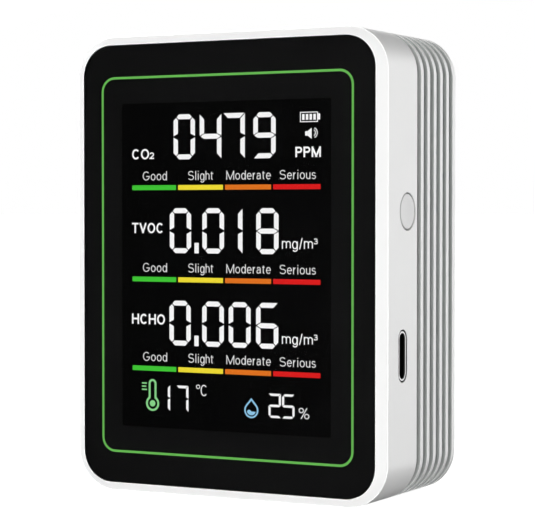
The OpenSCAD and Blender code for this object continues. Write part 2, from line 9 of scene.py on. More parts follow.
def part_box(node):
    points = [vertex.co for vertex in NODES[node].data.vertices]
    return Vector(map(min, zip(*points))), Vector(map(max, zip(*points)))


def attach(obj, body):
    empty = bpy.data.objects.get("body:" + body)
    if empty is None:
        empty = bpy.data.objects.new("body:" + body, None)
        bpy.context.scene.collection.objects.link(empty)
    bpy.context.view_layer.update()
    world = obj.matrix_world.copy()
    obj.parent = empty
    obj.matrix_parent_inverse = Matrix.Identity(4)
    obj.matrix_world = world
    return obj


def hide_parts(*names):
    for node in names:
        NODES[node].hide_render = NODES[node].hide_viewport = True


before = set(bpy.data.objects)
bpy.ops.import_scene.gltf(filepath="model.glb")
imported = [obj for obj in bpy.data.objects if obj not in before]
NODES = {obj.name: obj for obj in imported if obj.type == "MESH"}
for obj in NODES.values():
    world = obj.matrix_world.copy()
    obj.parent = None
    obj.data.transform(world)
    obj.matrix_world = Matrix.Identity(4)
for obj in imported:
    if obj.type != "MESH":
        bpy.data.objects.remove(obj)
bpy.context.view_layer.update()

# ---------------------------------------------------------------- Sizes, in metres

MM = 0.001
TINY = 1e-6
CORNER_STEPS = 20
SMOOTH_ANGLE = math.radians(35)

low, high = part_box("front_case")
FACE_Y = low.y
BACK_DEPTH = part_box("rear_case")[1].y - FACE_Y
MID_Z = (low.z + high.z) / 2
BODY_HALF_W = (high.x - low.x) / 2
BODY_HALF_H = (high.z - low.z) / 2
BODY_R = 8 * MM
PARTING = high.y - FACE_Y

lens_low, lens_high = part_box("front_lens")
LENS_HALF_W = (lens_high.x - lens_low.x) / 2
LENS_HALF_H = (lens_high.z - lens_low.z) / 2
LENS_R = 5.9 * MM
LENS_GAP = 0.1 * MM
LENS_BACK = lens_high.y - FACE_Y
LENS_FACE_BORDER = 0.6 * MM
SHELF = 1.0 * MM
SHELF_BACK = 2.2 * MM
BEVEL_DEPTH = 1.25 * MM
FRONT_WALL = 1.8 * MM
WINDOW_HALF_W = 24.3 * MM
WINDOW_HALF_H = 33.8 * MM
WINDOW_R = 0.5 * MM

GROOVE_COUNT = 6
GROOVE_PITCH = 2.94 * MM
GROOVE_W = 1.82 * MM
GROOVE_DEPTH = 2.0 * MM
REAR_WALL = 1.6 * MM
LIP = 2.0 * MM
BACK_INSIDE = 29.9 * MM
REAR_EDGE = 1.0 * MM
BACK_FACE_BORDER = 2.5 * MM
COUNTERBORE_R = 2.2 * MM
SCREW_HEAD_R = 2.1 * MM

# Two columns of vent slots, above the middle of the back
VENT_ROWS = 8
VENT_PITCH = 3.2 * MM
VENT_LOWEST = 6 * MM
VENT_SIDE = 11.5 * MM
VENT_HALF_W = 10 * MM
VENT_HALF_H = 0.8 * MM

button_low, button_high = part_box("power_button")
BUTTON_CENTRE = (button_low + button_high) / 2
BUTTON_R = 3.3 * MM
BUTTON_GAP = 0.12 * MM
BUTTON_EDGE = 0.35 * MM
BUTTON_DISH = 0.12 * MM
usb_low, usb_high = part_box("usb_contacts")
USB_CENTRE = (usb_low + usb_high) / 2
SLOT_HALF_Y = 1.9 * MM
SLOT_HALF_Z = 4.75 * MM
SLOT_R = 1.85 * MM

SEGMENT_LOW, SEGMENT_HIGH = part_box("digit_segments")
BARS_LOW, BARS_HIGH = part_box("level_bars")
DISPLAY_X = (BARS_LOW.x + BARS_HIGH.x) / 2


# ---------------------------------------------------------------- Mesh building

def rounded_outline(half_w, half_h, radius, steps=CORNER_STEPS):
    """The points of a rounded rectangle about the origin, starting on its right side."""
    points = []
    for quarter, (side, up) in enumerate(((1, 1), (-1, 1), (-1, -1), (1, -1))):
        centre = (side * (half_w - radius), up * (half_h - radius))
        for k in range(steps + 1):
            angle = math.radians(90 * (quarter + k / steps))
            points.append((centre[0] + radius * math.cos(angle), centre[1] + radius * math.sin(angle)))
    return points


def soften(stations, steps=4, closed=False):
    """Rounds the corners of a profile. A station is (values, amount); each corner becomes a short curve."""
    values = [Vector(s[0]) for s in stations]
    count = len(values)
    result = []
    for i, (here, amount) in enumerate(zip(values, (s[1] for s in stations))):
        at_end = not closed and i in (0, count - 1)
        if at_end or amount == 0:
            result.append(here)
            continue
        before = values[i - 1] - here
        after = values[(i + 1) % count] - here
        start = here + before.normalized() * min(amount, before.length * 0.48)
        end = here + after.normalized() * min(amount, after.length * 0.48)
        for k in range(steps + 1):
            t = k / steps
            result.append(start * (1 - t) ** 2 + here * 2 * t * (1 - t) + end * t ** 2)
    return result


def loft(mesh, rings, closed=False, caps=True):
    """Joins rings of points with faces. The ends get caps, or the last ring joins the first."""
    loops = [[mesh.verts.new(p) for p in ring] for ring in rings]
    pairs = list(zip(loops, loops[1:]))
    if closed:
        pairs.append((loops[-1], loops[0]))
    for a, b in pairs:
        for i in range(len(a)):
            j = (i + 1) % len(a)
            mesh.faces.new((a[i], a[j], b[j], b[i]))
    if caps and not closed:
        mesh.faces.new(loops[0])
        mesh.faces.new(loops[-1])


def make_object(name, mesh):
    """Turns a bmesh into an object with outward faces and smooth shading up to an angle."""
    bmesh.ops.recalc_face_normals(mesh, faces=mesh.faces)
    data = bpy.data.meshes.new(name)
    mesh.to_mesh(data)
    mesh.free()
    data.shade_smooth()
    data.set_sharp_from_angle(angle=SMOOTH_ANGLE)
    piece = bpy.data.objects.new(name, data)
    bpy.context.scene.collection.objects.link(piece)
    return piece


def face_ring(half_w, half_h, radius, depth):
    """A rounded rectangle parallel to the front face, at a depth behind it."""
    return [(x, FACE_Y + depth, MID_Z + z) for x, z in rounded_outline(half_w, half_h, radius)]


def side_ring(half_y, half_z, radius, x, centre, steps=12):
    """A rounded rectangle parallel to the right side, about a centre."""
    return [(x, centre.y + y, centre.z + z) for y, z in rounded_outline(half_y, half_z, radius, steps)]


def depth_circle(centre_x, centre_z, radius, depth, steps=48):
    """A circle parallel to the front face."""
    angles = [2 * math.pi * k / steps for k in range(steps)]
    return [(centre_x + radius * math.cos(a), FACE_Y + depth, centre_z + radius * math.sin(a))
            for a in angles]


def side_circle(x, radius, centre, steps=64):
    """A circle parallel to the right side."""
    angles = [2 * math.pi * k / steps for k in range(steps)]
    return [(x, centre.y + radius * math.cos(a), centre.z + radius * math.sin(a)) for a in angles]


def carve(piece, cutter_mesh):
    """Cuts the solids in a bmesh out of a piece."""
    cutter = make_object("cutter", cutter_mesh)
    modifier = piece.modifiers.new("carve", "BOOLEAN")
    modifier.operation = "DIFFERENCE"
    modifier.solver = "EXACT"
    modifier.object = cutter
    depsgraph = bpy.context.evaluated_depsgraph_get()
    carved = bpy.data.meshes.new_from_object(piece.evaluated_get(depsgraph))
    piece.modifiers.clear()
    piece.data = carved
    bpy.data.objects.remove(cutter)
    carved.shade_smooth()
    carved.set_sharp_from_angle(angle=SMOOTH_ANGLE)


def finish_piece(piece, body, material, replaced=()):
    """Gives a piece its material and its body, and hides the CAD nodes that it stands for."""
    piece.data.materials.clear()
    piece.data.materials.append(material)
    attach(piece, body)
    if replaced:
        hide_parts(*replaced)
    return piece


def paint_faces(piece, material, chosen):
    """Gives the faces that a test picks a second material."""
    piece.data.materials.append(material)
    for face in piece.data.polygons:
        if chosen(face):
            face.material_index = 1


# ---------------------------------------------------------------- Materials

class Paint:
    """A node material under construction: a Principled shader and short helpers round it."""

    def __init__(self, name):
        self.material = bpy.data.materials.new(name)
        self.material.use_nodes = True
        self.tree = self.material.node_tree
        self.shader = self.tree.nodes["Principled BSDF"]
        self.place = self.add("ShaderNodeTexCoord").outputs["Object"]

    def add(self, kind, **settings):
        made = self.tree.nodes.new(kind)
        for key, value in settings.items():
            setattr(made, key, value)
        return made

    def link(self, source, target):
        self.tree.links.new(source, target)

    def set(self, **values):
        for key, value in values.items():
            self.shader.inputs[key.replace("_", " ")].default_value = value

    def noise(self, size, detail):
        """Noise whose features are about size metres across."""
        texture = self.add("ShaderNodeTexNoise")
        texture.inputs["Scale"].default_value = 1 / size
        texture.inputs["Detail"].default_value = detail
        self.link(self.place, texture.inputs["Vector"])
        return texture.outputs["Fac"]

    def spread(self, value, source, target=(0, 1)):
        """Maps a value from one range to another, and holds it at the ends."""
        ranged = self.add("ShaderNodeMapRange")
        for key, end in zip(("From Min", "From Max", "To Min", "To Max"), (*source, *target)):
            ranged.inputs[key].default_value = end
        self.link(value, ranged.inputs["Value"])
        return ranged.outputs["Result"]

    def between(self, noise, low_value, high_value):
        """Spreads noise, which lies mostly from 0.3 to 0.7, over a range."""
        return self.spread(noise, (0.3, 0.7), (low_value, high_value))

    def along_x(self, start, end):
        """Rises from 0 to 1 between two places along the X axis."""
        split = self.add("ShaderNodeSeparateXYZ")
        self.link(self.place, split.inputs["Vector"])
        return self.spread(split.outputs["X"], (start, end))

    def mix(self, factor, first, second):
        """Mixes two colours."""
        blend = self.add("ShaderNodeMix", data_type="RGBA")
        self.link(factor, blend.inputs["Factor"])
        for key, value in ((6, first), (7, second)):
            if isinstance(value, tuple):
                blend.inputs[key].default_value = (*value, 1)
            else:
                self.link(value, blend.inputs[key])
        return blend.outputs[2]

    def bump(self, height, distance):
        """Raises the surface by up to distance metres."""
        node = self.add("ShaderNodeBump")
        node.inputs["Strength"].default_value = 1.0
        node.inputs["Distance"].default_value = distance
        self.link(height, node.inputs["Height"])
        self.link(node.outputs["Normal"], self.shader.inputs["Normal"])


def shade(colour, factor):
    """A darker or lighter tone of a colour."""
    return tuple(min(1.0, c * factor) for c in colour)


def moulded_plastic(name, colour, roughness=0.45, grain=0.25 * MM, relief=0.004 * MM, mottle=0.03):
    """Injection-moulded plastic: a fine spark-eroded grain, and a faint drift of colour and gloss."""
    paint = Paint(name)
    drift = paint.noise(12 * MM, 3)
    paint.link(paint.mix(drift, shade(colour, 1 - mottle), shade(colour, 1 + mottle)),
               paint.shader.inputs["Base Color"])
    fine = paint.noise(grain, 3)
    paint.link(paint.between(fine, roughness - 0.05, roughness + 0.05), paint.shader.inputs["Roughness"])
    paint.bump(fine, relief)
    paint.set(IOR=1.5)
    return paint.material


def metal(name, colour, roughness=0.3, mark_size=0.15 * MM):
    """Metal with fine marks in its polish."""
    paint = Paint(name)
    marks = paint.noise(mark_size, 4)
    paint.link(paint.mix(marks, shade(colour, 0.85), shade(colour, 1.1)), paint.shader.inputs["Base Color"])
    paint.link(paint.between(marks, roughness * 0.8, roughness * 1.3), paint.shader.inputs["Roughness"])
    paint.bump(marks, 0.002 * MM)
    paint.set(Metallic=1.0)
    return paint.material


def socket_metal_painted_shade(name, mouth, inside):
    """Satin steel with painted shade: its colour darkens from the mouth of the socket inwards, where a deep
    socket lies in shadow.
    """
    paint = Paint(name)
    mouth_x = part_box("usb_shell")[1].x
    # Painted shade: dark from just behind the mouth inwards.
    fade = paint.along_x(mouth_x - 0.3 * MM, mouth_x - 0.05 * MM)
    paint.link(paint.mix(fade, inside, mouth), paint.shader.inputs["Base Color"])
    marks = paint.noise(0.15 * MM, 4)
    paint.link(paint.between(marks, 0.35, 0.5), paint.shader.inputs["Roughness"])
    paint.set(Metallic=1.0)
    return paint.material


def clear_plastic(name, tint, roughness=0.02, reflection=0.5):
    """Clear acrylic or glass, with a trace of unevenness in its polish."""
    paint = Paint(name)
    polish = paint.noise(6 * MM, 2)
    paint.link(paint.between(polish, roughness, roughness + 0.015), paint.shader.inputs["Roughness"])
    paint.set(Base_Color=(*tint, 1), IOR=1.49, Transmission_Weight=1.0, Specular_IOR_Level=reflection)
    return paint.material


def thin_film(name, tint, alpha):
    """A bonded clear layer that is almost not seen."""
    paint = Paint(name)
    drift = paint.noise(8 * MM, 1)
    paint.link(paint.between(drift, alpha, alpha * 1.5), paint.shader.inputs["Alpha"])
    paint.set(Base_Color=(*tint, 1), Roughness=0.5, Specular_IOR_Level=0.0)
    return paint.material


def ink(name, colour, roughness=0.6):
    """Screen-printed ink, with the faint print of its mesh."""
    paint = Paint(name)
    weave = paint.noise(0.12 * MM, 2)
    paint.link(paint.mix(weave, shade(colour, 0.94), shade(colour, 1.06)), paint.shader.inputs["Base Color"])
    paint.link(paint.between(weave, roughness - 0.05, roughness + 0.05), paint.shader.inputs["Roughness"])
    paint.set(Specular_IOR_Level=0.0)
    return paint.material


def glow(name, colours, across=None, strength=1.0):
    """Lit display areas, and the painted glow of the green ring print. Several colours follow one another
    across the named node's box.
    """
    paint = Paint(name)
    if len(colours) == 1:
        tone = colours[0]
        lit = paint.mix(paint.noise(0.4 * MM, 1), shade(tone, 0.98), tone)
    else:
        left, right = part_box(across)
        ramp = paint.add("ShaderNodeValToRGB")
        ramp.color_ramp.interpolation = "CONSTANT"
        for k, tone in enumerate(colours):
            position = k / len(colours)
            stop = ramp.color_ramp.elements[k] if k < 2 else ramp.color_ramp.elements.new(position)
            stop.position = position
            stop.color = (*tone, 1)
        paint.link(paint.along_x(left.x, right.x), ramp.inputs["Fac"])
        lit = ramp.outputs["Color"]
    paint.link(lit, paint.shader.inputs["Emission Color"])
    paint.set(Base_Color=(0, 0, 0, 1), Emission_Strength=strength, Specular_IOR_Level=0.0, Roughness=1.0)
    return paint.material


def circuit_board(name, colour):
    """Solder mask over copper tracks, which show as a lighter, raised pattern."""
    paint = Paint(name)
    tracks = paint.add("ShaderNodeTexBrick")
    tracks.inputs["Scale"].default_value = 1 / (9 * MM)
    tracks.inputs["Mortar Size"].default_value = 0.035
    tracks.inputs["Mortar Smooth"].default_value = 0.2
    turn = paint.add("ShaderNodeMapping")
    turn.inputs["Rotation"].default_value = (math.radians(90), 0, 0)
    paint.link(paint.place, turn.inputs["Vector"])
    paint.link(turn.outputs["Vector"], tracks.inputs["Vector"])
    paint.link(paint.mix(tracks.outputs["Fac"], colour, shade(colour, 2.0)),
               paint.shader.inputs["Base Color"])
    paint.bump(tracks.outputs["Fac"], 0.03 * MM)
    paint.set(Roughness=0.3, Coat_Weight=0.3)
    return paint.material


def woven_mesh(name, colour):
    """Fine woven dust mesh: two crossed sets of threads."""
    paint = Paint(name)
    threads = []
    for direction in ("X", "Z"):
        wave = paint.add("ShaderNodeTexWave", wave_type="BANDS", bands_direction=direction)
        wave.inputs["Scale"].default_value = 1 / (1.6 * MM)
        paint.link(paint.place, wave.inputs["Vector"])
        threads.append(wave.outputs["Fac"])
    crossed = paint.add("ShaderNodeMath", operation="MAXIMUM")
    paint.link(threads[0], crossed.inputs[0])
    paint.link(threads[1], crossed.inputs[1])
    paint.link(paint.mix(crossed.outputs[0], shade(colour, 0.05), colour), paint.shader.inputs["Base Color"])
    paint.bump(crossed.outputs[0], 0.08 * MM)
    paint.set(Roughness=0.8)
    return paint.material


def crinkled_foil(name, colour):
    """Aluminium laminate with soft creases."""
    paint = Paint(name)
    creases = paint.noise(4 * MM, 5)
    paint.link(paint.between(creases, 0.25, 0.45), paint.shader.inputs["Roughness"])
    paint.link(paint.mix(creases, shade(colour, 0.9), shade(colour, 1.05)), paint.shader.inputs["Base Color"])
    paint.bump(creases, 0.15 * MM)
    paint.set(Metallic=0.9)
    return paint.material


WHITE_PLASTIC = moulded_plastic("white_plastic", (0.86, 0.86, 0.855), 0.42)
# Painted shade: a darker grey for the groove faces, standing in for the shade that falls in the grooves.
GROOVE_PAINTED_SHADE = moulded_plastic("groove_painted_shade", (0.57, 0.59, 0.58), 0.55)
# Painted shade: near-black for the walls of the USB slot, where the narrow gap lies in shadow.
SLOT_PAINTED_SHADE = moulded_plastic("slot_painted_shade", (0.1, 0.1, 0.1), 0.6)
BUTTON_PLASTIC = moulded_plastic("button_plastic", (0.66, 0.66, 0.66), 0.4, 0.2 * MM, 0.006 * MM)
LENS_CLEAR = clear_plastic("lens_clear", (0.97, 0.97, 0.97), 0.02, 0.06)
LAMP_GLASS = clear_plastic("lamp_glass", (0.95, 0.95, 0.93))
FILM_CLEAR = thin_film("film_clear", (0.02, 0.02, 0.03), 0.01)
BLACK_INK = ink("black_ink", (0.03, 0.03, 0.0305))
RIM_PAINT = ink("rim_paint", (0.01, 0.01, 0.01))
# Painted light: the green ring print glows, standing in for the light that falls on it.
GREEN_INK_PAINTED_GLOW = glow("green_ink_painted_glow", [(0.145, 0.5, 0.095)])
DARK_GLASS = ink("dark_glass", (0.0003, 0.0003, 0.0004), 0.9)
DIGIT_GLOW = glow("digit_glow", [(1, 1, 1)], strength=1.08)
WORD_GLOW = glow("word_glow", [(0.82, 0.82, 0.82)])
BAR_GLOW = glow("bar_glow", [(0.057, 0.62, 0.04), (0.96, 0.8, 0.04), (0.825, 0.19, 0.015),
                             (0.774, 0.013, 0.013)], "level_bars")
ICON_GLOW = glow("icon_glow", [(0.27, 0.72, 0.28), (0.3, 0.62, 0.87)], "climate_icons")
BLACK_TAPE = moulded_plastic("black_tape", (0.02, 0.02, 0.02), 0.8, 0.1 * MM, 0.01 * MM)
SATIN_FILM = moulded_plastic("satin_film", (0.85, 0.85, 0.85), 0.6)
MIRROR_FILM = metal("mirror_film", (0.9, 0.9, 0.9), 0.08)
TRAY_PLASTIC = moulded_plastic("tray_plastic", (0.8, 0.8, 0.78), 0.5)
BLACK_RESIN = moulded_plastic("black_resin", (0.02, 0.02, 0.022), 0.55, 0.08 * MM, 0.006 * MM)
IVORY_NYLON = moulded_plastic("ivory_nylon", (0.75, 0.7, 0.55), 0.4)
TAN_CERAMIC = moulded_plastic("tan_ceramic", (0.4, 0.28, 0.17), 0.5, 0.1 * MM)
LED_RESIN = moulded_plastic("led_resin", (0.85, 0.75, 0.4), 0.3)
MEMBRANE = moulded_plastic("membrane", (0.8, 0.8, 0.78), 0.9, 0.1 * MM, 0.02 * MM)
WIRE_SLEEVE = moulded_plastic("wire_sleeve", (0.5, 0.01, 0.008), 0.45)
TINNED = metal("tinned_metal", (0.75, 0.75, 0.74), 0.3)
GOLD = metal("gold_plate", (0.95, 0.68, 0.28), 0.25)
STEEL = metal("zinc_steel", (0.62, 0.62, 0.64), 0.32, 0.3 * MM)
SHELL_STEEL_PAINTED_SHADE = socket_metal_painted_shade("shell_steel_painted_shade", (0.3, 0.3, 0.3), (0.02, 0.02, 0.02))
TONGUE_RESIN = moulded_plastic("tongue_resin", (0.004, 0.004, 0.004), 0.8, 0.1 * MM)
GREEN_BOARD = circuit_board("green_board", (0.01, 0.11, 0.04))
DUST_MESH = woven_mesh("dust_mesh", (0.12, 0.12, 0.12))
POUCH_FOIL = crinkled_foil("pouch_foil", (0.72, 0.72, 0.74))
CHAMBER_GOLD = metal("chamber_gold", (0.8, 0.6, 0.25), 0.35, 0.5 * MM)

NODE_MATERIALS = {
    "lens_print": BLACK_INK, "ring_print": GREEN_INK_PAINTED_GLOW, "lens_tape": BLACK_TAPE,
    "optical_adhesive": FILM_CLEAR, "front_polarizer": FILM_CLEAR, "lcd_front_glass": FILM_CLEAR,
    "digit_segments": DIGIT_GLOW, "level_bars": BAR_GLOW, "status_icons": DIGIT_GLOW,
    "climate_icons": ICON_GLOW, "lcd_rear_glass": DARK_GLASS, "rear_polarizer": DARK_GLASS,
    "diffuser_film": SATIN_FILM, "light_guide": LAMP_GLASS, "reflector_film": MIRROR_FILM,
    "backlight_tray": TRAY_PLASTIC, "backlight_leds": LED_RESIN, "lcd_pins": TINNED,
    "main_board": GREEN_BOARD, "microcontroller": BLACK_RESIN, "board_chips": BLACK_RESIN,
    "small_parts": TAN_CERAMIC, "buzzer": BLACK_RESIN, "usb_shell": SHELL_STEEL_PAINTED_SHADE,
    "usb_tongue": TONGUE_RESIN, "usb_contacts": GOLD, "switch_body": BLACK_RESIN,
    "switch_cover": TINNED, "switch_plunger": BLACK_RESIN, "switch_dome": STEEL,
    "switch_leads": TINNED, "co2_board": GREEN_BOARD, "co2_chamber": CHAMBER_GOLD,
    "co2_filters": MEMBRANE, "ir_lamp": LAMP_GLASS, "ir_detector": STEEL, "co2_pins": GOLD,
    "tvoc_base": STEEL, "tvoc_can": STEEL, "hcho_cell": TRAY_PLASTIC, "hcho_cap": TRAY_PLASTIC,
    "hcho_pins": GOLD, "humidity_sensor": TRAY_PLASTIC, "battery_cell": POUCH_FOIL,
    "battery_tape": BLACK_TAPE, "protection_board": GREEN_BOARD, "battery_wires": WIRE_SLEEVE,
    "battery_plug": IVORY_NYLON, "battery_socket": IVORY_NYLON, "board_screws": STEEL,
    "case_screws": STEEL, "vent_mesh": DUST_MESH,
}


# ---------------------------------------------------------------- Case

def case_station(inset, depth):
    """A ring of the case's outline, pulled in by an inset on all sides."""
    return (BODY_HALF_W - inset, BODY_HALF_H - inset, BODY_R - inset, depth)


def build_front_case():
    """The front shell: a bevel, a pocket for the lens with a window behind it, and two holes in its side."""
    pocket = (LENS_HALF_W + LENS_GAP, LENS_HALF_H + LENS_GAP, LENS_R + LENS_GAP)
    land = tuple(value + LENS_GAP for value in pocket)
    opening = (WINDOW_HALF_W, WINDOW_HALF_H, WINDOW_R)
    stations = [
        ((*pocket, 0.03 * MM), 0.03 * MM),
        ((*land, 0), 0.06 * MM),
        (case_station(0, BEVEL_DEPTH), 0.2 * MM),
        (case_station(0, PARTING), 0.22 * MM),
        (case_station(FRONT_WALL, PARTING), 0.15 * MM),
        (case_station(FRONT_WALL, SHELF_BACK), 0.4 * MM),
        ((*opening, SHELF_BACK), 0),
        ((*opening, SHELF), 0.1 * MM),
        ((*pocket, SHELF), 0),
    ]
    mesh = bmesh.new()
    loft(mesh, [face_ring(*s) for s in soften(stations, closed=True)], closed=True)
    case = make_object("front_shell", mesh)
    cutters = bmesh.new()
    # The mouth of each hole flares a little, which leaves a soft edge
    face = BODY_HALF_W
    flare = ((face - 2.5 * MM, 0), (face - 0.2 * MM, 0), (face - 0.06 * MM, 0.02 * MM),
             (face, 0.08 * MM), (face + MM, 1.6 * MM))
    loft(cutters, [side_circle(x, BUTTON_R + BUTTON_GAP + grow, BUTTON_CENTRE) for x, grow in flare])
    loft(cutters, [side_ring(SLOT_HALF_Y + grow, SLOT_HALF_Z + grow, SLOT_R + grow, x, USB_CENTRE)
                   for x, grow in flare])
    carve(case, cutters)
    finish_piece(case, "case", WHITE_PLASTIC, ["front_case"])

    # Painted shade: the walls of the USB slot get the near-black slot colour.
    def in_slot(polygon):
        offset, slack = polygon.center - USB_CENTRE, 0.03 * MM
        return (polygon.center.x < face - 0.05 * MM and abs(polygon.normal.x) < 0.5
                and abs(offset.y) < SLOT_HALF_Y + slack and abs(offset.z) < SLOT_HALF_Z + slack)

    paint_faces(case, SLOT_PAINTED_SHADE, in_slot)


def build_rear_case():
    """The rear shell: a lip inside the front one, the grooves, the back, its vents and its screw holes."""
    core = GROOVE_DEPTH
    inner = core + REAR_WALL
    edge = 0.24 * MM
    stations = [
        (case_station(inner, BACK_INSIDE), 0),
        (case_station(inner, PARTING - LIP), 0.2 * MM),
        (case_station(core, PARTING - LIP), 0.3 * MM),
    ]
    for i in range(GROOVE_COUNT):
        start = PARTING + i * GROOVE_PITCH
        if i > 0:
            stations += [(case_station(0, start), edge), (case_station(core, start), edge)]
        stations += [(case_station(core, start + GROOVE_W), edge), (case_station(0, start + GROOVE_W), edge)]
    back = BACK_DEPTH
    stations += [(case_station(0, back), REAR_EDGE), (case_station(BACK_FACE_BORDER, back), 0)]
    mesh = bmesh.new()
    loft(mesh, [face_ring(*s) for s in soften(stations)])
    case = make_object("rear_shell", mesh)
    cutters = bmesh.new()
    flare = ((back - 3 * MM, 0), (back - 0.3 * MM, 0), (back, 0.2 * MM), (back + MM, 1.6 * MM))
    for x, z in screw_places():
        loft(cutters, [depth_circle(x, z, COUNTERBORE_R + grow, depth) for depth, grow in flare])
    for x, z in vent_places():
        rings = []
        for depth, grow in flare:
            half_h = VENT_HALF_H + grow
            outline = rounded_outline(VENT_HALF_W + grow, half_h, half_h - 0.01 * MM, 8)
            rings.append([(x + u, FACE_Y + depth, z + v) for u, v in outline])
        loft(cutters, rings)
    carve(case, cutters)
    add_bosses(case)
    finish_piece(case, "case", WHITE_PLASTIC, ["rear_case"])
    groove_end = FACE_Y + PARTING + (GROOVE_COUNT - 1) * GROOVE_PITCH + GROOVE_W + 0.1 * MM

    # Painted shade: the faces inside the grooves get the darker groove colour.
    def in_groove(polygon):
        centre = polygon.center
        beyond = Vector((max(abs(centre.x) - BODY_HALF_W + BODY_R, 0),
                         max(abs(centre.z - MID_Z) - BODY_HALF_H + BODY_R, 0)))
        return centre.y < groove_end and beyond.length < BODY_R - 0.1 * MM

    paint_faces(case, GROOVE_PAINTED_SHADE, in_groove)


def screw_places():
    """The four case screws, from the corners of their node's box."""
    screw_low, screw_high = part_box("case_screws")
    return [(x, z) for x in (screw_low.x + SCREW_HEAD_R, screw_high.x - SCREW_HEAD_R)
            for z in (screw_low.z + SCREW_HEAD_R, screw_high.z - SCREW_HEAD_R)]


def vent_places():
    """The middles of the vent slots."""
    return [(side * VENT_SIDE, MID_Z + VENT_LOWEST + VENT_PITCH * i)
            for i in range(VENT_ROWS) for side in (-1, 1)]


def add_bosses(case):
    """Adds the four tubes that carry the case screws."""
    mesh = bmesh.new()
    mesh.from_mesh(case.data)
    neck, outer, seat = 1.4 * MM, 3.2 * MM, 20 * MM
    front, back = 11.6 * MM, BACK_INSIDE + 0.05 * MM
    profile = [(outer, front), (outer, back), (COUNTERBORE_R, back), (COUNTERBORE_R, seat),
               (neck, seat), (neck, front)]
    for x, z in screw_places():
        loft(mesh, [depth_circle(x, z, r, depth) for r, depth in profile], closed=True)
    bmesh.ops.recalc_face_normals(mesh, faces=mesh.faces)
    mesh.to_mesh(case.data)
    mesh.free()
    case.data.set_sharp_from_angle(angle=SMOOTH_ANGLE)


def build_lens():
    """A clear plate with a softened edge."""
    back = LENS_BACK - 0.01 * MM
    edge = (LENS_HALF_W, LENS_HALF_H, LENS_R)
    face = tuple(value - LENS_FACE_BORDER for value in edge)
    stations = [((*face, 0), 0), ((*edge, 0), 0.12 * MM), ((*edge, back), 0.05 * MM), ((*face, back), 0)]
    mesh = bmesh.new()
    loft(mesh, [face_ring(*s) for s in soften(stations, 3)])
    lens = finish_piece(make_object("lens_plate", mesh), "case", LENS_CLEAR, ["front_lens"])
    # The rim is painted black, so that the white case isn't seen through it
    paint_faces(lens, RIM_PAINT, lambda polygon: abs(polygon.normal.y) < 0.5)


# ---------------------------------------------------------------- Lettering on the display

def curve(centre_u, centre_v, radius_u, radius_v, start, end):
    """Points along an arc between two angles, in degrees from the right-hand side."""
    steps = max(3, round(abs(end - start) / 12))
    angles = [math.radians(start + (end - start) * k / steps) for k in range(steps + 1)]
    return [(centre_u + radius_u * math.cos(a), centre_v + radius_v * math.sin(a)) for a in angles]


S_STROKES = [curve(0.5, 0.76, 0.45, 0.24, 25, 270) + curve(0.5, 0.26, 0.5, 0.26, 90, -155)]
RING_STROKES = [curve(0.5, 0.5, 0.5, 0.5, 0, 360)]

